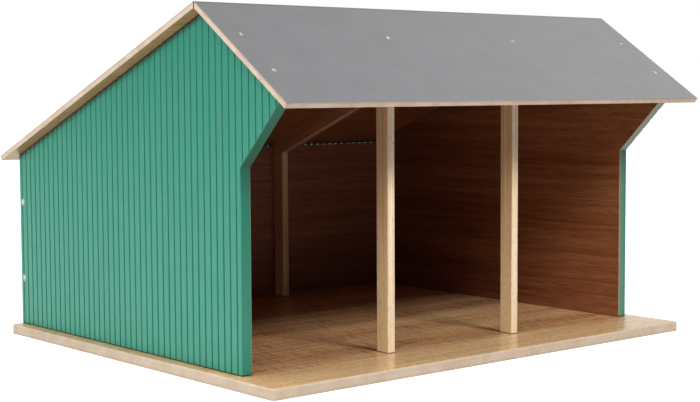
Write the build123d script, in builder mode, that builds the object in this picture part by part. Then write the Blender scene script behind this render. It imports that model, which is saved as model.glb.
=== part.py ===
from build123d import *
import os
from math import cos, radians, sin, tan

os.makedirs("parts", exist_ok=True)

# Toy machine shed: a board floor, two end walls, a rear wall, a two-slope roof, four posts and two rafters,
# held together with countersunk screws. Millimetres. +X runs along the open front to the right,
# +Y from the open front to the rear wall, +Z up. The origin is on the ground, under the middle of the roof.

# Floor board
base_length = 440.0
base_depth = 375.0
base_thickness = 8.0
base_corner_radius = 3.0
base_edge_radius = 1.2

# Wall boards
wall_thickness = 9.0
wall_inset = 10.5  # floor board showing outside each end wall
front_margin = 50.0  # floor board showing in front of the end walls
knee_height = 147.5  # from the floor to where the front edge starts to slant
wing_overhang = 1.1  # the slanting edge's tip reaching beyond the floor board's front edge
board_edge_radius = 0.4  # sanded edges of the wall and roof boards

# Grooves milled down the outer faces of the wall boards, with rounded lips
groove_pitch = 7.9
groove_width = 1.8
groove_floor = 1.0
groove_depth = 0.9
groove_lip_radius = 0.6
groove_foot_radius = 0.3
groove_margin = 4.9  # from the front edge of an end wall to its first groove

# Roof panels
verge_overhang = 10.5  # roof reaching beyond each end wall
roof_thickness = 4.5
ridge_setback = 89.5  # from the floor board's front edge
ridge_height = 259.7  # from the floor to the underside of the ridge
front_pitch = 34.0
rear_pitch = 21.6
front_eave = 15.0  # underside reaching beyond the floor board's front edge
rear_eave = 12.5  # underside reaching beyond the floor board's rear edge
ridge_gap = 0.4  # between the two panels' mitred edges

# Posts and rafters, cut from one stick
stick_width = 7.2
stick_depth = 13.5
stick_edge_radius = 0.9
rafter_offset = 4.5  # how far each rafter stands inside its front post

# Screws and dowels
screw_diameter = 3.0
screw_head_diameter = 6.2
screw_sink = 0.15  # head below the board's face
screw_clearance = 0.1
recess_width = 0.8
recess_span = 3.4
recess_depth = 1.1
short_screw = 15.0
middle_screw = 20.0
long_screw = 25.0
dowel_diameter = 4.0
dowel_length = 14.0
dowel_clearance = 0.05
board_gap = 0.2  # between a board's end and the face that it stands against

# Where the screws stand
ridge_screw_run = 41.0  # from the ridge down either slope to the first screws
wing_screw_run = 86.0  # from the ridge down the front slope to the second ones
eave_screw_margin = 45.0  # from the rear panel's eave up to its last screws
rafter_screw_run = 60.0  # from the ridge to a rafter's upper screw
rafter_screw_pitch = 140.0
wall_screw_heights = (40.0, 106.0)  # above the floor, through the end walls into the rear wall
post_screw_heights = (30.0, 100.0)  # above the floor, through the rear wall into the rear posts
floor_screw_inset = 30.0  # from an end of a wall's foot to its outer floor screws

# Slopes as directions in the YZ plane
front_run = cos(radians(front_pitch))
front_fall = sin(radians(front_pitch))
rear_run = cos(radians(rear_pitch))
rear_fall = sin(radians(rear_pitch))

front_panel_length = (ridge_setback + front_eave) / front_run
rear_panel_length = (base_depth - ridge_setback + rear_eave) / rear_run

# The roof's plan is centred on the origin, and the floor board follows it
front_rounding = board_edge_radius * (front_run + front_fall - 1)
rear_rounding = board_edge_radius * (rear_run + rear_fall - 1)
front_reach = front_rounding - front_eave - roof_thickness * front_fall
rear_reach = base_depth + rear_eave + roof_thickness * rear_fall - rear_rounding
base_front = -(front_reach + rear_reach) / 2
base_rear = base_front + base_depth
ridge_y = base_front + ridge_setback
floor_z = base_thickness
ridge_z = floor_z + ridge_height

wall_front = base_front + front_margin
outer_x = base_length / 2 - wall_inset
inner_x = outer_x - wall_thickness
roof_length = 2 * (outer_x + verge_overhang)
rear_inner_y = base_rear - wall_thickness
bay_width = (2 * inner_x - 2 * stick_width) / 3
post_x = bay_width / 2 + stick_width / 2
rafter_x = post_x - rafter_offset


def front_under(y):
    """Height of the front panel's underside."""
    return ridge_z - (ridge_y - y) * tan(radians(front_pitch))


def rear_under(y):
    """Height of the rear panel's underside."""
    return ridge_z - (y - ridge_y) * tan(radians(rear_pitch))


rafter_drop = stick_depth / rear_run
rear_post_front = rear_inner_y - board_gap - stick_depth
rear_post_rear = rear_inner_y - board_gap
rear_wall_top = rear_under(base_rear)

# The wing's tip, where the slanting front edge of an end wall meets the front panel
knee_z = floor_z + knee_height
tip_y = base_front - wing_overhang
tip_z = front_under(tip_y)

# The ridge's top corner, where the two upper faces would meet, and how far down its slope each panel starts
ridge_sine = sin(radians(front_pitch + rear_pitch))
ridge_top_y = ridge_y + roof_thickness * (front_run - rear_run) / ridge_sine
ridge_top_z = ridge_z + roof_thickness * (front_fall + rear_fall) / ridge_sine
ridge_start = ridge_gap / 2 / cos(radians((front_pitch + rear_pitch) / 2))


def front_seat(x, run):
    """Screw place on the front panel: its upper face, square to the slope."""
    y = ridge_y - run * front_run - roof_thickness * front_fall
    z = ridge_z - run * front_fall + roof_thickness * front_run
    return Plane(origin=(x, y, z), x_dir=(1, 0, 0), z_dir=(0, -front_fall, front_run))


def rear_seat(x, run):
    """Screw place on the rear panel: its upper face, square to the slope."""
    y = ridge_y + run * rear_run + roof_thickness * rear_fall
    z = ridge_z - run * rear_fall + roof_thickness * rear_run
    return Plane(origin=(x, y, z), x_dir=(1, 0, 0), z_dir=(0, rear_fall, rear_run))


def floor_seat(x, y):
    """Screw place under the floor board."""
    return Plane(origin=(x, y, 0), x_dir=(1, 0, 0), z_dir=(0, 0, -1))


def end_seat(side, height):
    """Screw place on an end wall's outer face, in line with the middle of the rear wall's edge."""
    y = base_rear - wall_thickness / 2
    return Plane(origin=(side * outer_x, y, floor_z + height), x_dir=(0, 1, 0), z_dir=(side, 0, 0))


def back_seat(x, height):
    """Screw place on the rear wall's outer face."""
    return Plane(origin=(x, base_rear, floor_z + height), x_dir=(1, 0, 0), z_dir=(0, 1, 0))


wall_mid_x = outer_x - wall_thickness / 2
wall_mid_y = (wall_front + base_rear) / 2
wall_foot_ys = (wall_front + floor_screw_inset, wall_mid_y, base_rear - floor_screw_inset)
rear_wall_xs = (floor_screw_inset - inner_x, 0, inner_x - floor_screw_inset)
post_mid_y = wall_front + stick_depth / 2
rear_post_mid_y = (rear_post_front + rear_post_rear) / 2

front_screw_runs = (ridge_screw_run, wing_screw_run)
last_screw_run = rear_panel_length - eave_screw_margin
rear_screw_runs = (ridge_screw_run, (ridge_screw_run + last_screw_run) / 2, last_screw_run)
rafter_screw_runs = (rafter_screw_run, rafter_screw_run + rafter_screw_pitch)

front_wall_seats = {s: [front_seat(s * wall_mid_x, run) for run in front_screw_runs] for s in (-1, 1)}
rear_wall_seats = {s: [rear_seat(s * wall_mid_x, run) for run in rear_screw_runs] for s in (-1, 1)}
front_post_seats = {s: front_seat(s * post_x, ridge_screw_run) for s in (-1, 1)}
rafter_seats = {s: [rear_seat(s * rafter_x, run) for run in rafter_screw_runs] for s in (-1, 1)}
end_seats = {s: [end_seat(s, height) for height in wall_screw_heights] for s in (-1, 1)}
back_seats = {s: [back_seat(s * rafter_x, height) for height in post_screw_heights] for s in (-1, 1)}
wall_floor_seats = {s: [floor_seat(s * wall_mid_x, y) for y in wall_foot_ys] for s in (-1, 1)}
rear_floor_seats = [floor_seat(x, base_rear - wall_thickness / 2) for x in rear_wall_xs]
post_floor_seats = {s: floor_seat(s * post_x, post_mid_y) for s in (-1, 1)}
rear_post_floor_seats = {s: floor_seat(s * rafter_x, rear_post_mid_y) for s in (-1, 1)}

pilot_radius = screw_diameter / 2 + screw_clearance
sink_radius = screw_head_diameter / 2 + screw_sink + screw_clearance


def sink_holes(seats, depth):
    """Countersunk clearance holes through a board, one at each screw place."""
    with Locations(*seats):
        CounterSinkHole(pilot_radius, sink_radius, depth=depth, counter_sink_angle=90)


def pilot_holes(seats, depth):
    """Holes for the screws' shanks, measured from the same places as the screws."""
    with Locations(*seats):
        Hole(pilot_radius, depth=depth + screw_clearance)


def make_screw(length):
    """Countersunk cross-head screw along -Z, with the board's face at Z = 0."""
    head_radius = screw_head_diameter / 2
    shank_radius = screw_diameter / 2
    neck_z = -screw_sink - (head_radius - shank_radius)
    with BuildPart() as screw:
        with BuildSketch(Plane.XZ):
            with BuildLine():
                Polyline(
                    (0, -screw_sink),
                    (head_radius, -screw_sink),
                    (shank_radius, neck_z),
                    (shank_radius, -length + screw_diameter),
                    (0, -length),
                    close=True,
                )
            make_face()
        revolve(axis=Axis.Z)
        with BuildSketch(Plane.XY.offset(-screw_sink)):
            Rectangle(recess_span, recess_width)
            Rectangle(recess_width, recess_span)
        extrude(amount=-recess_depth, taper=8, mode=Mode.SUBTRACT)
    return screw.part


def save(piece, name):
    """Labels one sub-part and writes it."""
    piece.part.label = name
    export_step(piece.part, f"parts/{name}.step")


def save_screws(name, seats, screw):
    """Writes one group of like screws, each at its own place."""
    with BuildPart() as group:
        with Locations(*seats):
            add(screw)
    save(group, name)


# Floor board, with its screw holes opening downwards
with BuildPart() as base_board:
    with BuildSketch(Plane.XY):
        with Locations((0, (base_front + base_rear) / 2)):
            RectangleRounded(base_length, base_depth, base_corner_radius)
    extrude(amount=base_thickness)
    fillet(base_board.faces().sort_by(Axis.Z)[-1].edges(), radius=base_edge_radius)
    sink_holes(wall_floor_seats[-1] + wall_floor_seats[1] + rear_floor_seats, base_thickness)
    sink_holes([*post_floor_seats.values(), *rear_post_floor_seats.values()], base_thickness)
save(base_board, "base_board")


# Outline of an end wall, seen from its side: foot, rear edge, both slopes, wing and knee
end_wall_outline = [
    (wall_front, floor_z),
    (base_rear, floor_z),
    (base_rear, rear_under(base_rear)),
    (ridge_y, ridge_z),
    (tip_y, tip_z),
    (wall_front, knee_z),
]


# Section of one groove in a face that looks along +Y, with its lips and its foot rounded
groove_reach = groove_width / 2 + groove_lip_radius
with BuildSketch() as groove_section:
    with BuildLine():
        Polyline(
            (-groove_reach, groove_depth),
            (-groove_reach, 0),
            (-groove_width / 2, 0),
            (-groove_floor / 2, -groove_depth),
            (groove_floor / 2, -groove_depth),
            (groove_width / 2, 0),
            (groove_reach, 0),
            (groove_reach, groove_depth),
            close=True,
        )
    make_face()
    lips = groove_section.vertices().filter_by_position(Axis.Y, -0.01, 0.01).sort_by(Axis.X)[1:3]
    fillet(lips, radius=groove_lip_radius)
    feet = groove_section.vertices().filter_by_position(Axis.Y, -groove_depth - 0.01, 0.01 - groove_depth)
    fillet(feet, radius=groove_foot_radius)


first_groove_y = wall_front + groove_margin
wing_grooves = int((first_groove_y - groove_reach - tip_y) / groove_pitch)
wall_grooves = int((base_rear - groove_reach - first_groove_y) / groove_pitch) + 1
end_groove_ys = [first_groove_y + groove_pitch * i for i in range(-wing_grooves, wall_grooves)]
rear_groove_count = 2 * int((inner_x - groove_reach + groove_pitch / 2) / groove_pitch)
rear_groove_xs = [groove_pitch * (i - (rear_groove_count - 1) / 2) for i in range(rear_groove_count)]


def is_sanded(edge):
    """Whether an end wall's edge is rounded: up its front to the tip, or outside along its foot or rear."""
    ends = [edge.position_at(0), edge.position_at(1)]
    upward = abs(ends[0].Z - ends[1].Z) > 1
    on_foot = all(end.Z < floor_z + 0.01 for end in ends)
    at_front = all(end.Y < wall_front + 0.01 for end in ends)
    at_rear = all(end.Y > base_rear - 0.01 for end in ends)
    outside = all(abs(end.X) > outer_x - 0.01 for end in ends)
    return (at_front and (upward or on_foot)) or (outside and (on_foot or at_rear))


def make_end_wall(side):
    """One end wall: a board with vertical grooves in its outer face."""
    with BuildPart() as wall:
        with BuildSketch(Plane.YZ.offset(side * outer_x)):
            with BuildLine():
                Polyline(*end_wall_outline, close=True)
            make_face()
        extrude(amount=-side * wall_thickness)
        fillet(wall.edges().filter_by(is_sanded), radius=board_edge_radius)
        with BuildSketch(Plane.XY.offset(floor_z)):
            with Locations(*[(side * outer_x, y) for y in end_groove_ys]):
                add(groove_section.sketch, rotation=-side * 90)
        extrude(amount=ridge_height, mode=Mode.SUBTRACT)
        sink_holes(end_seats[side], wall_thickness)
        pilot_holes(front_wall_seats[side] + rear_wall_seats[side], middle_screw)
        pilot_holes(wall_floor_seats[side], long_screw)
    return wall


left_end_wall = make_end_wall(-1)
save(left_end_wall, "left_end_wall")
right_end_wall = make_end_wall(1)
save(right_end_wall, "right_end_wall")

# Rear wall, between the end walls. Its top is cut square, so the roof bears on its outer top edge
with BuildPart() as rear_wall:
    with BuildSketch(Plane.XZ.offset(-base_rear)):
        with Locations((0, (floor_z + rear_wall_top) / 2)):
            Rectangle(2 * (inner_x - board_gap), rear_wall_top - floor_z)
    extrude(amount=wall_thickness)
    foot_edges = rear_wall.edges().filter_by(Axis.X).sort_by(Axis.Z)[:2]
    fillet(foot_edges.sort_by(Axis.Y)[-1], radius=board_edge_radius)
    with BuildSketch(Plane.XY.offset(floor_z)):
        with Locations(*[(x, base_rear) for x in rear_groove_xs]):
            add(groove_section.sketch)
    extrude(amount=rear_wall_top - floor_z, mode=Mode.SUBTRACT)
    sink_holes(back_seats[-1] + back_seats[1], wall_thickness)
    pilot_holes(end_seats[-1] + end_seats[1], long_screw)
    pilot_holes(rear_floor_seats, long_screw)
save(rear_wall, "rear_wall")

# Roof panels, mitred along the ridge and cut square at the eaves
with BuildPart() as roof_front_panel:
    with BuildSketch(Plane.YZ.offset(-roof_length / 2)):
        with BuildLine():
            eave_y = ridge_y - front_panel_length * front_run
            eave_z = ridge_z - front_panel_length * front_fall
            start_y = -ridge_start * front_run
            start_z = -ridge_start * front_fall
            Polyline(
                (ridge_y + start_y, ridge_z + start_z),
                (ridge_top_y + start_y, ridge_top_z + start_z),
                (eave_y - roof_thickness * front_fall, eave_z + roof_thickness * front_run),
                (eave_y, eave_z),
                close=True,
            )
        make_face()
    extrude(amount=roof_length)
    fillet(roof_front_panel.edges(), radius=board_edge_radius)
    sink_holes(front_wall_seats[-1] + front_wall_seats[1], roof_thickness)
    sink_holes([*front_post_seats.values()], roof_thickness)
save(roof_front_panel, "roof_front_panel")

with BuildPart() as roof_rear_panel:
    with BuildSketch(Plane.YZ.offset(-roof_length / 2)):
        with BuildLine():
            eave_y = ridge_y + rear_panel_length * rear_run
            eave_z = ridge_z - rear_panel_length * rear_fall
            start_y = ridge_start * rear_run
            start_z = -ridge_start * rear_fall
            Polyline(
                (ridge_y + start_y, ridge_z + start_z),
                (ridge_top_y + start_y, ridge_top_z + start_z),
                (eave_y + roof_thickness * rear_fall, eave_z + roof_thickness * rear_run),
                (eave_y, eave_z),
                close=True,
            )
        make_face()
    extrude(amount=roof_length)
    fillet(roof_rear_panel.edges(), radius=board_edge_radius)
    sink_holes(rear_wall_seats[-1] + rear_wall_seats[1], roof_thickness)
    sink_holes(rafter_seats[-1] + rafter_seats[1], roof_thickness)
save(roof_rear_panel, "roof_rear_panel")


def stick_edges(part, axis):
    """The long edges of a stick."""
    return part.edges().filter_by(axis)


def make_front_post(side):
    """One front post, from the floor to the front panel."""
    with BuildPart() as post:
        with BuildSketch(Plane.YZ.offset(side * post_x - stick_width / 2)):
            with BuildLine():
                Polyline(
                    (wall_front, floor_z),
                    (wall_front + stick_depth, floor_z),
                    (wall_front + stick_depth, front_under(wall_front + stick_depth)),
                    (wall_front, front_under(wall_front)),
                    close=True,
                )
            make_face()
        extrude(amount=stick_width)
        fillet(stick_edges(post, Axis.Z), radius=stick_edge_radius)
        pilot_holes([front_post_seats[side]], short_screw)
        pilot_holes([post_floor_seats[side]], long_screw)
    return post


front_post_left = make_front_post(-1)
save(front_post_left, "front_post_left")
front_post_right = make_front_post(1)
save(front_post_right, "front_post_right")


def dowel_seat(side):
    """Middle of the joint between a rafter and its rear post, square to the rafter's lower face."""
    seat = (side * rafter_x, rear_post_mid_y, rear_under(rear_post_mid_y) - rafter_drop)
    return Plane(origin=seat, x_dir=(1, 0, 0), z_dir=(0, rear_fall, rear_run))


def dowel_hole(side):
    """Hole that a dowel fills on both sides of its joint."""
    with Locations(dowel_seat(side)):
        hole_length = dowel_length + 2 * dowel_clearance
        Cylinder(dowel_diameter / 2 + dowel_clearance, hole_length, mode=Mode.SUBTRACT)


def make_rear_post(side):
    """One rear post, from the floor to its rafter's lower face."""
    with BuildPart() as post:
        with BuildSketch(Plane.YZ.offset(side * rafter_x - stick_width / 2)):
            with BuildLine():
                Polyline(
                    (rear_post_front, floor_z),
                    (rear_post_rear, floor_z),
                    (rear_post_rear, rear_under(rear_post_rear) - rafter_drop),
                    (rear_post_front, rear_under(rear_post_front) - rafter_drop),
                    close=True,
                )
            make_face()
        extrude(amount=stick_width)
        fillet(stick_edges(post, Axis.Z), radius=stick_edge_radius)
        pilot_holes(back_seats[side], middle_screw)
        pilot_holes([rear_post_floor_seats[side]], long_screw)
        dowel_hole(side)
    return post


rear_post_left = make_rear_post(-1)
save(rear_post_left, "rear_post_left")
rear_post_right = make_rear_post(1)
save(rear_post_right, "rear_post_right")


def make_rafter(side):
    """One rafter, under the rear panel from the rear wall to the ridge, cut there to the front slope."""
    rafter_toe = rafter_drop / (tan(radians(front_pitch)) + tan(radians(rear_pitch)))
    with BuildPart() as rafter:
        with BuildSketch(Plane.YZ.offset(side * rafter_x - stick_width / 2)):
            with BuildLine():
                Polyline(
                    (ridge_y, ridge_z),
                    (rear_post_rear, rear_under(rear_post_rear)),
                    (rear_post_rear, rear_under(rear_post_rear) - rafter_drop),
                    (ridge_y - rafter_toe, front_under(ridge_y - rafter_toe)),
                    close=True,
                )
            make_face()
        extrude(amount=stick_width)
        slope = Axis((0, 0, 0), (0, rear_run, -rear_fall))
        fillet(rafter.edges().filter_by(slope).sort_by(Axis.Z)[:2], radius=stick_edge_radius)
        pilot_holes(rafter_seats[side], short_screw)
        dowel_hole(side)
    return rafter


rafter_left = make_rafter(-1)
save(rafter_left, "rafter_left")
rafter_right = make_rafter(1)
save(rafter_right, "rafter_right")

# Dowels between the rafters and the rear posts
with BuildPart() as rafter_dowels:
    with Locations(dowel_seat(-1), dowel_seat(1)):
        Cylinder(dowel_diameter / 2, dowel_length)
save(rafter_dowels, "rafter_dowels")

# Screws, one node for each group of like screws
short = make_screw(short_screw)
middle = make_screw(middle_screw)
long = make_screw(long_screw)

save_screws("front_panel_wall_screws", front_wall_seats[-1] + front_wall_seats[1], middle)
save_screws("front_panel_post_screws", [*front_post_seats.values()], short)
save_screws("rear_panel_wall_screws", rear_wall_seats[-1] + rear_wall_seats[1], middle)
save_screws("rear_panel_rafter_screws", rafter_seats[-1] + rafter_seats[1], short)
save_screws("left_wall_screws", end_seats[-1], long)
save_screws("right_wall_screws", end_seats[1], long)
save_screws("rear_wall_post_screws", back_seats[-1] + back_seats[1], middle)
save_screws("floor_end_wall_screws", wall_floor_seats[-1] + wall_floor_seats[1], long)
save_screws("floor_rear_wall_screws", rear_floor_seats, long)
save_screws("floor_post_screws", [*post_floor_seats.values(), *rear_post_floor_seats.values()], long)
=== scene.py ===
import math
from functools import partial
import bmesh
import bpy
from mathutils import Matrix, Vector


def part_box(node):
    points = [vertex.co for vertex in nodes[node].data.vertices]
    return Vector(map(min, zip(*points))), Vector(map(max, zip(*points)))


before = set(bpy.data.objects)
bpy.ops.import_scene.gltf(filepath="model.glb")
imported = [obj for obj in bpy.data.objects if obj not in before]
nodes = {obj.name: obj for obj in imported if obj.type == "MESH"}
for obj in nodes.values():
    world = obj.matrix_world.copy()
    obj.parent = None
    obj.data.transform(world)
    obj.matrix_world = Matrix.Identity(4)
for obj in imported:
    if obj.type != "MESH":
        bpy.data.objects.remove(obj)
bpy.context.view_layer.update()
print("frame loaded:", len(nodes), "pieces")

mm = 0.001  # metres in a millimetre

# Faces that the finishes change at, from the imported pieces
floorFront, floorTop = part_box("base_board")[0].y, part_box("base_board")[1].z
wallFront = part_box("front_post_left")[0].y
wallInner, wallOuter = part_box("right_end_wall")[0].x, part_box("right_end_wall")[1].x
rearInner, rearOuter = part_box("rear_wall")[0].y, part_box("rear_wall")[1].y

# The line where the roof's undersides meet, behind and above the floor board's
# front edge, and the slopes in degrees
roofForm = {"ridgeSetback": 89.5 * mm, "ridgeHeight": 259.7 * mm, "frontPitch": 34.0, "rearPitch": 21.6}
ridgeLine = Vector((0, floorFront + roofForm["ridgeSetback"], floorTop + roofForm["ridgeHeight"]))
frontUp, rearUp = [
    Vector((0, outward * math.sin(math.radians(pitch)), math.cos(math.radians(pitch))))
    for pitch, outward in ((roofForm["frontPitch"], -1), (roofForm["rearPitch"], 1))]


# An sRGB hex colour as linear light
def linear(hexColour):
    channels = [int(hexColour[i:i + 2], 16) / 255 for i in (1, 3, 5)]
    return [c / 12.92 if c <= 0.04045 else ((c + 0.055) / 1.055) ** 2.4 for c in channels] + [1.0]


# An input is a value, a hex colour, a socket, or a node, which stands for its first output in use
def addNode(tree, kind, inputs=None, settings=None, stops=()):
    node = tree.nodes.new(kind)
    for name, value in (settings or {}).items():
        setattr(node, name, value)
    for name, value in (inputs or {}).items():
        socket = next(s for s in node.inputs if s.enabled and name in (s.name, s.identifier))
        if isinstance(value, bpy.types.Node):
            value = next(s for s in value.outputs if s.enabled)
        if isinstance(value, bpy.types.NodeSocket):
            tree.links.new(value, socket)
        else:
            socket.default_value = linear(value) if isinstance(value, str) else value
    if stops:
        elements = node.color_ramp.elements
        while len(elements) < len(stops):
            elements.new(0.5)
        for element, (position, hexColour) in zip(elements, stops):
            element.position = position
            element.color = linear(hexColour)
    return node


mixColours = {"data_type": "RGBA"}
multiplyColours = {"data_type": "RGBA", "blend_type": "MULTIPLY"}
toneSpan = (0.36, 0.64)  # noise seldom leaves this span, so a finish's tones are spread over it
laminateFilm = (0.06 * mm, 0.02 * mm)  # below its face, where laminate starts and where it is full


def spreadTones(colours):
    low, high = toneSpan
    return [(low + (high - low) * i / (len(colours) - 1), colour) for i, colour in enumerate(colours)]


def startMaterial(name, pieces):
    material = bpy.data.materials.new(name)
    material.use_nodes = True
    material.node_tree.nodes.clear()
    for piece in pieces:
        piece.data.materials[0] = material
    add = partial(addNode, material.node_tree)
    place = add("ShaderNodeTexCoord").outputs["Object"]
    return add, place


# The last two are what stands out of the surface and how far
def finishMaterial(add, colour, roughness, surface, relief, depth):
    normal = add("ShaderNodeBump", {"Height": relief, "Distance": depth, "Strength": 1.0})
    shader = {"Base Color": colour, "Roughness": roughness, "Normal": normal, **surface}
    add("ShaderNodeOutputMaterial", {"Surface": add("ShaderNodeBsdfPrincipled", shader)})


# Noise drawn out along one axis. A layer is its length and width in mm, its detail and its roughness
def drawLayers(add, place, layers, axis=0, turn=(0, 0, 0)):
    drawn = {}
    for layer, (length, width, detail, roughness) in layers.items():
        size = [(length if i == axis else width) * mm for i in range(3)]
        grid = add("ShaderNodeMapping", {
            "Vector": place, "Rotation": turn, "Scale": size}, {"vector_type": "TEXTURE"})
        drawn[layer] = add("ShaderNodeTexNoise", {
            "Vector": grid, "Scale": 1.0, "Detail": detail, "Roughness": roughness})
    return drawn


# Oak-look laminate: printed paper under melamine, pressed on the board. Soft long streaks in golden and
# redder bands, short dark pores, and a satin film that mirrors pale things.
oakLaminate = {
    "golden": ("#B38D5D", "#CFA876", "#E3BF8C"), "warm": ("#93653F", "#B08059", "#C89A70"), "pore": "#7A5433",
    "layers": {
        "bands": (500, 34, 1, 0.5), "streaks": (170, 4.5, 3, 0.6), "fibres": (34, 0.9, 2, 0.6),
        "pores": (9, 0.8, 1, 0.5),  # real pores are 0.2 mm wide, drawn wide enough to show
    },
    "fibreShare": 0.42, "poreShare": 0.5,
    "goldenAt": (0.42, 0.6), "poresAt": (0.56, 0.74),  # where they start and are full, as noise values
}


def printOak(add, place, axis, oak, goldenShare=None):
    layers = drawLayers(add, place, oak["layers"], axis)
    tone = add("ShaderNodeMix", {"Factor": oak["fibreShare"], "A": layers["streaks"], "B": layers["fibres"]})
    warm, golden = [
        add("ShaderNodeValToRGB", {"Fac": tone}, stops=spreadTones(oak[band])) for band in ("warm", "golden")]
    share = goldenShare or add("ShaderNodeMapRange", {
        "Value": layers["bands"], "From Min": oak["goldenAt"][0], "From Max": oak["goldenAt"][1]})
    wood = add("ShaderNodeMix", {"Factor": share, "A": warm, "B": golden}, mixColours)
    pores = add("ShaderNodeMapRange", {
        "Value": layers["pores"], "From Min": oak["poresAt"][0], "From Max": oak["poresAt"][1],
        "To Max": oak["poreShare"]})
    return add("ShaderNodeMix", {"Factor": pores, "A": wood, "B": oak["pore"]}, mixColours)


# Raw fibreboard: pressed fibres, sawn and sanded. Pale and dull, with fine specks and slow changes of tone.
rawBoard = {
    "tones": ("#C2AB93", "#CEB9A4"), "speck": "#A08468", "speckShare": 0.6, "specksAt": (0.55, 0.8),
    "layers": {"patches": (16, 16, 3, 0.6), "specks": (0.9, 0.9, 2, 0.7)},
}


def showBoard(add, place, board=rawBoard):
    layers = drawLayers(add, place, board["layers"])
    body = add("ShaderNodeValToRGB", {"Fac": layers["patches"]}, stops=spreadTones(board["tones"]))
    specks = add("ShaderNodeMapRange", {
        "Value": layers["specks"], "From Min": board["specksAt"][0], "From Max": board["specksAt"][1],
        "To Max": board["speckShare"]})
    colour = add("ShaderNodeMix", {"Factor": specks, "A": body, "B": board["speck"]}, mixColours)
    return colour, layers["specks"]


# Floor board: oak-look laminate on top, golden along the front and outside the walls as painted light, redder
# between them as painted shade and painted reflection of the dark inside, with dark rays across its grain.
# Raw fibreboard at the rounded edges and below, with painted shade at its foot.
floorBoard = {
    "layers": {"wander": (160, 30, 1, 0.5), "bands": (600, 42, 1, 0.5)},
    "litStrip": 44.0 * mm, "stripBlur": 6.0 * mm, "stripWander": 10.0 * mm,
    "bandsAt": (0.48, 0.66), "bandShare": 0.6,
    "rays": (30, 1.3, 2, 0.6), "rayTurn": -10.5, "raysAt": (0.52, 0.64),
    "rayColour": "#6B4529", "rayShare": 0.65,
    "topRoughness": 0.26, "edgeRoughness": 0.75, "ior": 1.5, "fibreDepth": 0.05 * mm,
    "footShade": "#8C8074", "footShadeHeight": 2.4 * mm, "footShadeShare": 0.35,
}
floorLaminate = dict(
    oakLaminate, golden=("#BF9867", "#D8B281", "#E8C596"), warm=("#A0724D", "#BE8E63", "#D0A278"),
    layers={"streaks": (120, 9, 2, 0.5), "fibres": (3.5, 1.4, 2, 0.7), "pores": (9, 0.8, 1, 0.5)},
    fibreShare=0.6, poreShare=0.45)

add, place = startMaterial("oakLaminateOnFibreboard", [nodes["base_board"]])
axes = add("ShaderNodeSeparateXYZ", {"Vector": place})
layers = drawLayers(add, place, floorBoard["layers"])
onTop = add("ShaderNodeMapRange", {
    "Value": axes.outputs["Z"], "From Min": floorTop - laminateFilm[0],
    "From Max": floorTop - laminateFilm[1]})
stripEdge = add("ShaderNodeMath", {
    "Value": layers["wander"], "Value_001": floorBoard["stripWander"], "Value_002": axes.outputs["Y"]},
    {"operation": "MULTIPLY_ADD"})
stripEnd = floorFront + floorBoard["litStrip"] + floorBoard["stripWander"] / 2  # noise is 0.5 on average
# Painted light: the floor in front of the roof is golden, up to a wandering line
inLitStrip = add("ShaderNodeMapRange", {
    "Value": stripEdge, "From Min": stripEnd + floorBoard["stripBlur"], "From Max": stripEnd})
bands = add("ShaderNodeMapRange", {
    "Value": layers["bands"], "From Min": floorBoard["bandsAt"][0], "From Max": floorBoard["bandsAt"][1],
    "To Max": floorBoard["bandShare"]})
fromMiddle = add("ShaderNodeMath", {"Value": axes.outputs["X"]}, {"operation": "ABSOLUTE"})
# Painted light: outside the walls the floor is golden too
outside = add("ShaderNodeMapRange", {"Value": fromMiddle, "From Min": wallInner, "From Max": wallOuter})
golden = add("ShaderNodeMath", {"Value": inLitStrip, "Value_001": bands}, {"operation": "MAXIMUM"})
golden = add("ShaderNodeMath", {"Value": golden, "Value_001": outside}, {"operation": "MAXIMUM"})
oak = printOak(add, place, 0, floorLaminate, golden)
turned = (0, 0, math.radians(floorBoard["rayTurn"]))
rays = add("ShaderNodeMapRange", {
    "Value": drawLayers(add, place, {"rays": floorBoard["rays"]}, 1, turned)["rays"],
    "From Min": floorBoard["raysAt"][0], "From Max": floorBoard["raysAt"][1],
    "To Max": floorBoard["rayShare"]})
# Painted shade: the redder floor under the roof, where the rays show
shadedRedder = add("ShaderNodeMapRange", {"Value": golden, "To Min": 1.0, "To Max": 0.0})
rays = add("ShaderNodeMath", {"Value": rays, "Value_001": shadedRedder}, {"operation": "MULTIPLY"})
oak = add("ShaderNodeMix", {"Factor": rays, "A": oak, "B": floorBoard["rayColour"]}, mixColours)
raw, specks = showBoard(add, place)
# Painted shade: the raw edges darken towards the ground
footShaded = add("ShaderNodeMapRange", {
    "Value": axes.outputs["Z"], "From Min": floorBoard["footShadeHeight"], "From Max": 0.0,
    "To Max": floorBoard["footShadeShare"]})
raw = add("ShaderNodeMix", {"Factor": footShaded, "A": raw, "B": floorBoard["footShade"]}, mixColours)
colour = add("ShaderNodeMix", {"Factor": onTop, "A": raw, "B": oak}, mixColours)
roughness = add("ShaderNodeMapRange", {
    "Value": onTop, "To Min": floorBoard["edgeRoughness"], "To Max": floorBoard["topRoughness"]})
edgeFibres = add("ShaderNodeMapRange", {"Value": onTop, "From Min": 1.0, "From Max": 0.0, "To Max": specks})
finishMaterial(add, colour, roughness, {"IOR": floorBoard["ior"]}, edgeFibres, floorBoard["fibreDepth"])
print("floor board finished")
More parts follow.
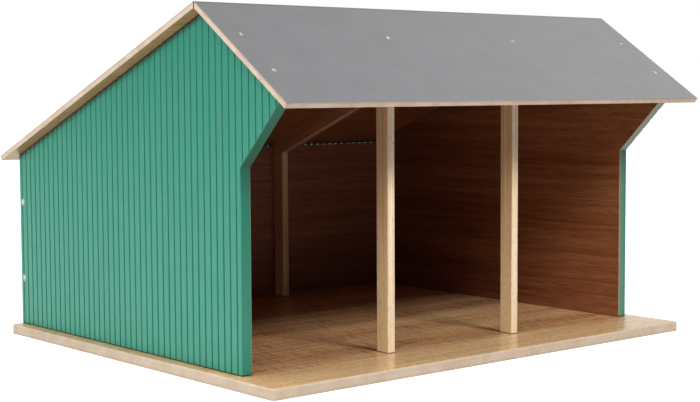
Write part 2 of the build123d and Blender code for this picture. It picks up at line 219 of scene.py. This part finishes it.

# Walls: satin acrylic paint, sprayed on grooved fibreboard, deeper higher up as painted shade. It pools in
# the grooves, which painted shade darkens further, and sinks into the right wall's sawn edges, more towards
# the inner face and most at the slanted front. The sawn edges are paler towards the foot as painted light.
# The inner face is bare oak-look laminate, darker and redder as painted shade, and darker still towards the
# rear. The joints with the floor and the roof show as dark lines of painted shade, with a soft painted shade
# below the roof.
paintedWall = {
    "layers": {"mottle": (12, 12, 3, 0.6), "peel": (1.5, 1.5, 2, 0.5)},
    "paint": ("#288870", "#2E8D77"),
    "pooledAndShaded": "#207660", "pooledAndShadedFrom": 0.15 * mm, "pooledAndShadedTo": 0.6 * mm,  # below the outer face
    "shadedHighPaint": "#10826A", "shadeHighFrom": 40.0 * mm, "shadeHighTo": 230.0 * mm,  # above the foot
    "edgeFrom": 1.2 * mm, "edgeBlur": 0.05 * mm,  # behind the outer face
    "litEdgeAtFoot": "#2A7865", "edgePaint": "#086852", "edgeLightFadeFrom": 15.0 * mm, "edgeLightFadeTo": 110.0 * mm,
    "soaked": "#94865F", "soakedShare": 0.35, "slantFrom": 0.5 * mm, "slantTo": 1.5 * mm,  # before wallFront
    "arris": 0.3 * mm, "arrisBlur": 0.1 * mm, "arrisShare": 0.45,
    "joint": "#1A2216", "jointAtFoot": 1.2 * mm, "jointAtRoof": 1.8 * mm,
    "solidAtFoot": 0.5, "solidAtRoof": 0.7,  # share of each line that is full
    "shadeBelowRoof": 5.5 * mm, "shadeShare": 0.75,
    "rearShade": "#C5BFCE", "rearShadeFrom": 15.0 * mm, "rearShadeTo": 235.0 * mm,  # behind the walls' front edge
    "peelDepth": 0.03 * mm, "paintRoughness": 0.4, "insideRoughness": 0.5, "ior": 1.46,
}
# Darker and redder than the floor's oak, as painted shade of the inside
shadedInsideLaminate = dict(
    oakLaminate, warm=("#7A4529", "#955835", "#AC6D45"), golden=("#824E2E", "#9C623D", "#B2764D"),
    pore="#57301A", poreShare=0.55)


def paintWall(name, pieces, outward, outer, inner, grainAxis):
    add, place = startMaterial(name, pieces)
    layers = drawLayers(add, place, paintedWall["layers"])
    axes = add("ShaderNodeSeparateXYZ", {"Vector": place})
    depth = add("ShaderNodeMath", {"Value": axes.outputs[outward]}, {"operation": "ABSOLUTE"})

    paint = add("ShaderNodeValToRGB", {"Fac": layers["mottle"]}, stops=spreadTones(paintedWall["paint"]))
    # Painted shade: the paint turns deeper higher up
    high = add("ShaderNodeMapRange", {
        "Value": axes.outputs["Z"], "From Min": floorTop + paintedWall["shadeHighFrom"],
        "From Max": floorTop + paintedWall["shadeHighTo"]})
    paint = add("ShaderNodeMix", {"Factor": high, "A": paint, "B": paintedWall["shadedHighPaint"]}, mixColours)
    # Paint that pools in the grooves, made darker with painted shade
    pooledAndShaded = add("ShaderNodeMapRange", {
        "Value": depth, "From Min": outer - paintedWall["pooledAndShadedFrom"],
        "From Max": outer - paintedWall["pooledAndShadedTo"]})
    paint = add("ShaderNodeMix", {"Factor": pooledAndShaded, "A": paint, "B": paintedWall["pooledAndShaded"]}, mixColours)

    edgeStart = outer - paintedWall["edgeFrom"]
    onFace = add("ShaderNodeMapRange", {
        "Value": depth, "From Min": edgeStart, "From Max": edgeStart + paintedWall["edgeBlur"]})
    # Painted light: the sawn edges are paler towards the foot
    edgeLightFade = add("ShaderNodeMapRange", {
        "Value": axes.outputs["Z"], "From Min": floorTop + paintedWall["edgeLightFadeFrom"],
        "From Max": floorTop + paintedWall["edgeLightFadeTo"]})
    edgePaint = add("ShaderNodeMix", {
        "Factor": edgeLightFade, "A": paintedWall["litEdgeAtFoot"], "B": paintedWall["edgePaint"]}, mixColours)
    paint = add("ShaderNodeMix", {"Factor": onFace, "A": edgePaint, "B": paint}, mixColours)

    rightShare = add("ShaderNodeMapRange", {
        "Value": axes.outputs["X"], "From Min": -mm, "From Max": mm, "To Max": paintedWall["soakedShare"]})
    edge = add("ShaderNodeMapRange", {
        "Value": depth, "From Min": edgeStart, "From Max": inner, "To Max": rightShare})
    onSlant = add("ShaderNodeMapRange", {
        "Value": axes.outputs["Y"], "From Min": wallFront - paintedWall["slantFrom"],
        "From Max": wallFront - paintedWall["slantTo"], "To Max": rightShare})
    offFace = add("ShaderNodeMapRange", {"Value": onFace, "To Min": 1.0, "To Max": 0.0})
    slant = add("ShaderNodeMath", {"Value": onSlant, "Value_001": offFace}, {"operation": "MULTIPLY"})
    soaked = add("ShaderNodeMath", {"Value": edge, "Value_001": slant}, {"operation": "ADD"})
    paint = add("ShaderNodeMix", {"Factor": soaked, "A": paint, "B": paintedWall["soaked"]}, mixColours)

    arrisEnd = inner + paintedWall["arris"]
    arris = add("ShaderNodeMapRange", {
        "Value": depth, "From Min": arrisEnd + paintedWall["arrisBlur"], "From Max": arrisEnd,
        "To Max": paintedWall["arrisShare"]})
    raw = showBoard(add, place)[0]
    outside = add("ShaderNodeMix", {"Factor": arris, "A": paint, "B": raw}, mixColours)

    # Painted shade: dark lines at the joints with the floor and the roof, and a soft painted shade below the
    # roof
    foot, roof = paintedWall["jointAtFoot"], paintedWall["jointAtRoof"]
    joint = add("ShaderNodeMapRange", {
        "Value": axes.outputs["Z"], "From Min": floorTop + foot,
        "From Max": floorTop + foot * paintedWall["solidAtFoot"]})
    for up in (frontUp, rearUp):
        lift = add("ShaderNodeVectorMath", {"Vector": place, "Vector_001": up}, {"operation": "DOT_PRODUCT"})
        underside = ridgeLine.dot(up)
        for below, share in ((roof, 1.0), (paintedWall["shadeBelowRoof"], paintedWall["shadeShare"])):
            nearRoof = add("ShaderNodeMapRange", {
                "Value": lift, "From Min": underside - below,
                "From Max": underside - roof * paintedWall["solidAtRoof"], "To Max": share})
            joint = add("ShaderNodeMath", {"Value": joint, "Value_001": nearRoof}, {"operation": "MAXIMUM"})
    outside = add("ShaderNodeMix", {"Factor": joint, "A": outside, "B": paintedWall["joint"]}, mixColours)

    oak = printOak(add, place, grainAxis, shadedInsideLaminate)
    # Painted shade: the laminate darkens towards the rear, and all over on the rear wall
    rearShade = add("ShaderNodeMapRange", {
        "Value": axes.outputs["Y"], "From Min": wallFront + paintedWall["rearShadeFrom"],
        "From Max": wallFront + paintedWall["rearShadeTo"]})
    oak = add("ShaderNodeMix", {"Factor": rearShade, "A": oak, "B": paintedWall["rearShade"]}, multiplyColours)
    onInside = add("ShaderNodeMapRange", {
        "Value": depth, "From Min": inner + laminateFilm[0], "From Max": inner + laminateFilm[1]})
    colour = add("ShaderNodeMix", {"Factor": onInside, "A": outside, "B": oak}, mixColours)
    roughness = add("ShaderNodeMapRange", {
        "Value": onInside, "To Min": paintedWall["paintRoughness"], "To Max": paintedWall["insideRoughness"]})
    finishMaterial(
        add, colour, roughness, {"IOR": paintedWall["ior"]}, layers["peel"], paintedWall["peelDepth"])


endWalls = [nodes["left_end_wall"], nodes["right_end_wall"]]
paintWall("satinGreenPaintEndWalls", endWalls, "X", wallOuter, wallInner, 1)
paintWall("satinGreenPaintRearWall", [nodes["rear_wall"]], "Y", rearOuter, rearInner, 0)
print("walls finished")

# Roof panels: grey melamine on thin fibreboard, satin and even. A grey-brown band of resin shows under the
# film, the sawn edges are raw board, and the underside is oak-look laminate, dark under the shed as painted
# shade and paler outside the walls as painted light. The faces at the mitre are dark, and the top is darker
# along the ridge.
roofPanel = {
    "thickness": 4.5 * mm, "layers": {"clouds": (26, 26, 3, 0.6), "grain": (0.8, 0.8, 1, 0.5)},
    "grey": ("#767678", "#7A7A7C"),
    "film": 0.12 * mm, "fullFilm": 0.04 * mm,  # below its face, where laminate starts and where it is full
    "resin": "#9C8978", "resinLine": 1.3 * mm,
    "ridgeTint": "#555556", "ridgeTintLine": 2.6 * mm, "fullRidgeTint": 1.56 * mm, "ridgeTintShare": 0.45,  # from the mitre
    "mitreDark": "#2B2019", "mitreDarkLine": 0.7 * mm, "fullMitreDark": 0.56 * mm,
    "topRoughness": 0.3, "edgeRoughness": 0.75, "underRoughness": 0.28, "ior": 1.5, "grainDepth": 0.012 * mm,
}
roofBoard = dict(rawBoard, tones=("#C3AC97", "#D5BFAB"))
# Painted shade on the underside under the shed, painted light on the underside outside the walls
shadedRoofLaminate = dict(
    shadedInsideLaminate, warm=("#6D3D25", "#854E31", "#9A6140"), golden=("#74452A", "#8B5738", "#9F6947"))
litVergeLaminate = dict(
    oakLaminate, warm=("#C08C58", "#CC9864", "#D8A470"), golden=("#C8935C", "#D49F68", "#E0AB74"))


def coverRoof(name, piece, up):
    add, place = startMaterial(name, [piece])
    layers = drawLayers(add, place, roofPanel["layers"])
    lift = add("ShaderNodeVectorMath", {"Vector": place, "Vector_001": up}, {"operation": "DOT_PRODUCT"})
    low = ridgeLine.dot(up)  # the underside
    high = low + roofPanel["thickness"]
    film, fullFilm = roofPanel["film"], roofPanel["fullFilm"]

    mitre = (rearUp - frontUp).normalized()
    along = add("ShaderNodeVectorMath", {"Vector": place, "Vector_001": mitre}, {"operation": "DOT_PRODUCT"})
    fromMitre = add("ShaderNodeMath", {
        "Value": along, "Value_001": ridgeLine.dot(mitre)}, {"operation": "SUBTRACT"})
    fromMitre = add("ShaderNodeMath", {"Value": fromMitre}, {"operation": "ABSOLUTE"})
    grey = add("ShaderNodeValToRGB", {"Fac": layers["clouds"]}, stops=spreadTones(roofPanel["grey"]))
    # Darker along the ridge
    ridgeTint = add("ShaderNodeMapRange", {
        "Value": fromMitre, "From Min": roofPanel["ridgeTintLine"], "From Max": roofPanel["fullRidgeTint"],
        "To Max": roofPanel["ridgeTintShare"]})
    grey = add("ShaderNodeMix", {"Factor": ridgeTint, "A": grey, "B": roofPanel["ridgeTint"]}, mixColours)

    raw = showBoard(add, place, roofBoard)[0]
    nearTop = add("ShaderNodeMapRange", {
        "Value": lift, "From Min": high - film - roofPanel["resinLine"], "From Max": high - film})
    edge = add("ShaderNodeMix", {"Factor": nearTop, "A": raw, "B": roofPanel["resin"]}, mixColours)
    onTop = add("ShaderNodeMapRange", {"Value": lift, "From Min": high - film, "From Max": high - fullFilm})
    colour = add("ShaderNodeMix", {"Factor": onTop, "A": edge, "B": grey}, mixColours)
    roughness = add("ShaderNodeMapRange", {
        "Value": onTop, "To Min": roofPanel["edgeRoughness"], "To Max": roofPanel["topRoughness"]})

    across = add("ShaderNodeSeparateXYZ", {"Vector": place}).outputs["X"]
    fromMiddle = add("ShaderNodeMath", {"Value": across}, {"operation": "ABSOLUTE"})
    # Painted light outside the walls, painted shade inside them
    outside = add("ShaderNodeMapRange", {"Value": fromMiddle, "From Min": wallInner, "From Max": wallOuter})
    shadedInside, litVerge = [printOak(add, place, 0, laminate) for laminate in (shadedRoofLaminate, litVergeLaminate)]
    oak = add("ShaderNodeMix", {"Factor": outside, "A": shadedInside, "B": litVerge}, mixColours)
    below = add("ShaderNodeMapRange", {"Value": lift, "From Min": low + film, "From Max": low + fullFilm})
    colour = add("ShaderNodeMix", {"Factor": below, "A": colour, "B": oak}, mixColours)
    roughness = add("ShaderNodeMix", {"Factor": below, "A": roughness, "B": roofPanel["underRoughness"]})
    # The faces at the mitre are dark
    atMitre = add("ShaderNodeMapRange", {
        "Value": fromMitre, "From Min": roofPanel["mitreDarkLine"], "From Max": roofPanel["fullMitreDark"]})
    colour = add("ShaderNodeMix", {"Factor": atMitre, "A": colour, "B": roofPanel["mitreDark"]}, mixColours)
    finishMaterial(
        add, colour, roughness, {"IOR": roofPanel["ior"]}, layers["grain"], roofPanel["grainDepth"])


coverRoof("greyMelamineFrontPanel", nodes["roof_front_panel"], frontUp)
coverRoof("greyMelamineRearPanel", nodes["roof_rear_panel"], rearUp)
print("roof finished")

# Posts, rafters and dowels: planed beech, not varnished. Straight grain, with short darker flecks along it.
# The faces to the left and right are warmer than the front and rear, as painted warm bounce light, and they
# get paler towards the foot as painted light from the floor, where a dark joint line of painted shade shows.
# The rear posts and the rafters are redder and darker as painted shade, apart from the posts' feet.
beechStick = {
    "tones": ("#D3B793", "#E3CBAB", "#EFDCC2"), "bounceLitSideTones": ("#D4A977", "#E3BC8E", "#EECEA4"),
    "footLightColour": "#FAE3B4", "fleck": "#AD8961", "fleckShare": 0.5, "flecksAt": (0.62, 0.76), "fibreShare": 0.4,
    "layers": {
        "bands": (170, 3.0, 2, 0.5), "fibres": (24, 0.7, 2, 0.6),
        "flecks": (4.5, 0.55, 0, 0.5),  # real flecks are 0.2 by 2 mm, drawn wide enough to show
    },
    "footLightFrom": 110.0 * mm, "footLightTo": 15.0 * mm, "footLightShare": 0.75,  # above the floor board
    "redShade": "#CEB3B3", "redShadeFrom": 15.0 * mm, "redShadeTo": 60.0 * mm,  # above the floor board
    "fibresAt": (0.3, 0.7), "smooth": 0.5, "rough": 0.64, "ior": 1.45, "fibreDepth": 0.03 * mm,
    "joint": "#2E1D10", "jointAtFoot": 0.7 * mm, "solidAtFoot": 0.5,  # share of the line that is full
}


# The lean is how far the sticks are turned from upright, in degrees
def planeBeech(name, pieces, redShadeShare=0.0, lean=0.0):
    add, place = startMaterial(name, pieces)
    layers = drawLayers(add, place, beechStick["layers"], 2, (math.radians(lean), 0, 0))
    tone = add("ShaderNodeMix", {
        "Factor": beechStick["fibreShare"], "A": layers["bands"], "B": layers["fibres"]})
    # Painted warm bounce light on the faces to the left and right
    front, bounceLitSide = [
        add("ShaderNodeValToRGB", {"Fac": tone}, stops=spreadTones(beechStick[face]))
        for face in ("tones", "bounceLitSideTones")]
    facing = add("ShaderNodeSeparateXYZ", {"Vector": add("ShaderNodeNewGeometry").outputs["True Normal"]})
    sideways = add("ShaderNodeMath", {"Value": facing.outputs["X"]}, {"operation": "ABSOLUTE"})
    height = add("ShaderNodeSeparateXYZ", {"Vector": place}).outputs["Z"]
    # Painted light from the floor: the side faces are paler towards the foot
    footLight = add("ShaderNodeMapRange", {
        "Value": height, "From Min": floorTop + beechStick["footLightFrom"],
        "From Max": floorTop + beechStick["footLightTo"], "To Max": beechStick["footLightShare"]})
    bounceLitSide = add("ShaderNodeMix", {"Factor": footLight, "A": bounceLitSide, "B": beechStick["footLightColour"]}, mixColours)
    wood = add("ShaderNodeMix", {"Factor": sideways, "A": front, "B": bounceLitSide}, mixColours)
    # Painted shade: redder and darker, less so near the floor
    redShade = add("ShaderNodeMapRange", {
        "Value": height, "From Min": floorTop + beechStick["redShadeFrom"],
        "From Max": floorTop + beechStick["redShadeTo"], "To Max": redShadeShare})
    wood = add("ShaderNodeMix", {"Factor": redShade, "A": wood, "B": beechStick["redShade"]}, multiplyColours)
    flecks = add("ShaderNodeMapRange", {
        "Value": layers["flecks"], "From Min": beechStick["flecksAt"][0],
        "From Max": beechStick["flecksAt"][1], "To Max": beechStick["fleckShare"]})
    colour = add("ShaderNodeMix", {"Factor": flecks, "A": wood, "B": beechStick["fleck"]}, mixColours)
    # Painted shade: a dark line at the foot
    joint = add("ShaderNodeMapRange", {
        "Value": height, "From Min": floorTop + beechStick["jointAtFoot"],
        "From Max": floorTop + beechStick["jointAtFoot"] * beechStick["solidAtFoot"]})
    colour = add("ShaderNodeMix", {"Factor": joint, "A": colour, "B": beechStick["joint"]}, mixColours)
    roughness = add("ShaderNodeMapRange", {
        "Value": layers["fibres"], "From Min": beechStick["fibresAt"][0],
        "From Max": beechStick["fibresAt"][1], "To Min": beechStick["smooth"], "To Max": beechStick["rough"]})
    finishMaterial(
        add, colour, roughness, {"IOR": beechStick["ior"]}, layers["fibres"], beechStick["fibreDepth"])


rafters = [nodes["rafter_left"], nodes["rafter_right"], nodes["rafter_dowels"]]
planeBeech("planedBeechPosts", [nodes["front_post_left"], nodes["front_post_right"]])
# The rear posts and the rafters get painted red shade
planeBeech("beechRearPostsRedShade", [nodes["rear_post_left"], nodes["rear_post_right"]], redShadeShare=0.8)
planeBeech("beechRaftersRedShade", rafters, redShadeShare=1.0, lean=90 - roofForm["rearPitch"])
print("posts and rafters finished")

# Screws: cold-headed steel with zinc plate, dull and a little uneven on the head, with a painted white
# highlight down in the cross recess
zincScrew = {
    "layers": {"patches": (1.4, 1.4, 3, 0.6), "dents": (1.1, 1.1, 1, 0.5)},
    "plate": ("#8F9194", "#BDBFC2"), "patchesAt": (0.35, 0.65), "dull": 0.5, "bright": 0.3,
    "recessGlint": "#FFFFFF", "recessReach": 1.2 * mm, "recessAt": (0.85, 0.6),  # as openness
    "dentDepth": 0.4 * mm, "metallic": 0.7,  # the rest is the pale chromate film
}

screws = [nodes[name] for name in nodes if name.endswith("screws")]
add, place = startMaterial("brightZincPlatedSteel", screws)
layers = drawLayers(add, place, zincScrew["layers"])
plate = add("ShaderNodeValToRGB", {"Fac": layers["patches"]}, stops=spreadTones(zincScrew["plate"]))
# Painted highlight: white deep in the cross recess, found by occlusion
openness = add("ShaderNodeAmbientOcclusion", {"Distance": zincScrew["recessReach"]}, {"samples": 8})
glintInRecess = add("ShaderNodeMapRange", {
    "Value": openness.outputs["AO"], "From Min": zincScrew["recessAt"][0],
    "From Max": zincScrew["recessAt"][1]})
colour = add("ShaderNodeMix", {"Factor": glintInRecess, "A": plate, "B": zincScrew["recessGlint"]}, mixColours)
roughness = add("ShaderNodeMapRange", {
    "Value": layers["patches"], "From Min": zincScrew["patchesAt"][0], "From Max": zincScrew["patchesAt"][1],
    "To Min": zincScrew["dull"], "To Max": zincScrew["bright"]})
finishMaterial(
    add, colour, roughness, {"Metallic": zincScrew["metallic"]}, layers["dents"], zincScrew["dentDepth"])
print("screws finished")

# Studio: a white sweep behind the shed, darker on the camera's side, and four soft lamps
studio = {
    # spans run from -1, straight in front or left, to 1, straight behind or right
    "inFront": 0.05, "behind": 0.85, "lightSpan": (-0.5, 0.5),  # light of the surroundings on the shed
    "mirroredInFront": 0.15, "mirroredBehind": 1.0, "mirrorSpan": (-0.5, 0.2),  # as glossy surfaces show them
    "mirroredAbove": 0.0, "sweepTop": (38, 46),  # degrees up, where the sweep starts to darken and ends
    "mirroredAtLeft": 0.3, "leftSpan": (-0.2, 0.3),  # share that the left side keeps
    "aim": (0, 0, 0.10), "distance": 2.6,  # m
    # turn from straight in front towards the left, rise, width in m, level on a surface that faces the lamp
    "lamps": {
        "frontLamp": (0, 40, 0.6, 0.8), "fillLamp": (50, 30, 1.0, 0.3), "sideLamp": (100, 12, 1.4, 0.42),
        "rearLamp": (165, 38, 1.4, 0.3)},
}

world = bpy.data.worlds.new("whiteSweep")
bpy.context.scene.world = world
world.use_nodes = True
world.node_tree.nodes.clear()
add = partial(addNode, world.node_tree)
direction = add("ShaderNodeSeparateXYZ", {"Vector": add("ShaderNodeTexCoord").outputs["Generated"]})
seenBy = add("ShaderNodeLightPath")
light = add("ShaderNodeMapRange", {
    "Value": direction.outputs["Y"], "From Min": studio["lightSpan"][0], "From Max": studio["lightSpan"][1],
    "To Min": studio["inFront"], "To Max": studio["behind"]})
mirrored = add("ShaderNodeMapRange", {
    "Value": direction.outputs["Y"], "From Min": studio["mirrorSpan"][0], "From Max": studio["mirrorSpan"][1],
    "To Min": studio["mirroredInFront"], "To Max": studio["mirroredBehind"]})
sweepLow, sweepHigh = [math.sin(math.radians(rise)) for rise in studio["sweepTop"]]
fading = add("ShaderNodeMapRange", {
    "Value": direction.outputs["Z"], "From Min": sweepLow, "From Max": sweepHigh,
    "To Min": 1.0, "To Max": studio["mirroredAbove"]})
leftwards = add("ShaderNodeMapRange", {
    "Value": direction.outputs["X"], "From Min": studio["leftSpan"][0], "From Max": studio["leftSpan"][1],
    "To Min": studio["mirroredAtLeft"]})
for share in (fading, leftwards):
    mirrored = add("ShaderNodeMath", {"Value": mirrored, "Value_001": share}, {"operation": "MULTIPLY"})
glossy = add("ShaderNodeMath", {
    "Value": seenBy.outputs["Is Glossy Ray"], "Value_001": seenBy.outputs["Is Transmission Ray"]},
    {"operation": "MAXIMUM"})
strength = add("ShaderNodeMix", {"Factor": glossy, "A": light, "B": mirrored})
strength = add("ShaderNodeMix", {"Factor": seenBy.outputs["Is Camera Ray"], "A": strength, "B": 1.0})
sweep = add("ShaderNodeBackground", {"Color": "#FFFFFF", "Strength": strength})
add("ShaderNodeOutputWorld", {"Surface": sweep})

for name, (turn, rise, width, level) in studio["lamps"].items():
    lamp = bpy.data.lights.new(name, "AREA")
    lamp.shape = "SQUARE"
    lamp.size = width
    lamp.energy = level * math.pi ** 2 * studio["distance"] ** 2  # watts that give this level at the shed
    turn, rise = math.radians(turn), math.radians(rise)
    offset = Vector((-math.sin(turn) * math.cos(rise), -math.cos(turn) * math.cos(rise), math.sin(rise)))
    lampObject = bpy.data.objects.new(name, lamp)
    bpy.context.scene.collection.objects.link(lampObject)
    lampObject.location = Vector(studio["aim"]) + offset * studio["distance"]
    lampObject.rotation_euler = offset.to_track_quat("Z", "Y").to_euler()
print("studio lit")

# Ground: a plain pale floor, a hair below the floor board so that the two don't coincide. It runs into the
# white sweep with distance and keeps the shed's shadow
ground = {
    "colour": "#BDBDBD", "radius": 14.0, "corners": 96, "drop": 0.1 * mm,
    "glowNear": 0.9, "glowFar": 1.05, "near": 0.5, "far": 2.4,  # m from the middle
}

mesh = bmesh.new()
bmesh.ops.create_circle(mesh, cap_ends=True, segments=ground["corners"], radius=ground["radius"])
groundMesh = bpy.data.meshes.new("ground")
mesh.to_mesh(groundMesh)
mesh.free()
groundPiece = bpy.data.objects.new("ground", groundMesh)
bpy.context.scene.collection.objects.link(groundPiece)
groundPiece.location.z = -ground["drop"]
groundMesh.materials.append(None)  # a slot for its material
add, place = startMaterial("paleStudioFloor", [groundPiece])
seenBy = add("ShaderNodeLightPath")
seen = add("ShaderNodeMath", {
    "Value": seenBy.outputs["Is Camera Ray"], "Value_001": seenBy.outputs["Is Glossy Ray"]},
    {"operation": "MAXIMUM"})
seen = add("ShaderNodeMath", {
    "Value": seen, "Value_001": seenBy.outputs["Is Transmission Ray"]}, {"operation": "MAXIMUM"})
away = add("ShaderNodeVectorMath", {"Vector": place}, {"operation": "LENGTH"})
glow = add("ShaderNodeMapRange", {
    "Value": away, "From Min": ground["near"], "From Max": ground["far"],
    "To Min": ground["glowNear"], "To Max": ground["glowFar"]})
glow = add("ShaderNodeMath", {"Value": glow, "Value_001": seen}, {"operation": "MULTIPLY"})
both = add("ShaderNodeAddShader", {
    "Shader": add("ShaderNodeBsdfDiffuse", {"Color": ground["colour"]}),
    "Shader_001": add("ShaderNodeEmission", {"Strength": glow})})
add("ShaderNodeOutputMaterial", {"Surface": both})
print("ground laid")

# Camera: solved from the photograph's edges. No shift and no depth of field.
photoCamera = {
    "place": (-0.81133, -0.96805, 0.20917), "turn": (85.6888, 0.2808, -40.1744), "lens": 75.633,
    "sensorWidth": 36.0, "sight": 50.0,  # mm, m
}

camera = bpy.data.cameras.new("photoCamera")
camera.sensor_fit = "HORIZONTAL"
camera.sensor_width = photoCamera["sensorWidth"]
camera.lens = photoCamera["lens"]
camera.clip_end = photoCamera["sight"]
cameraObject = bpy.data.objects.new("photoCamera", camera)
bpy.context.scene.collection.objects.link(cameraObject)
cameraObject.location = photoCamera["place"]
cameraObject.rotation_euler = [math.radians(angle) for angle in photoCamera["turn"]]
bpy.context.scene.camera = cameraObject
bpy.context.scene.view_settings.view_transform = "Standard"
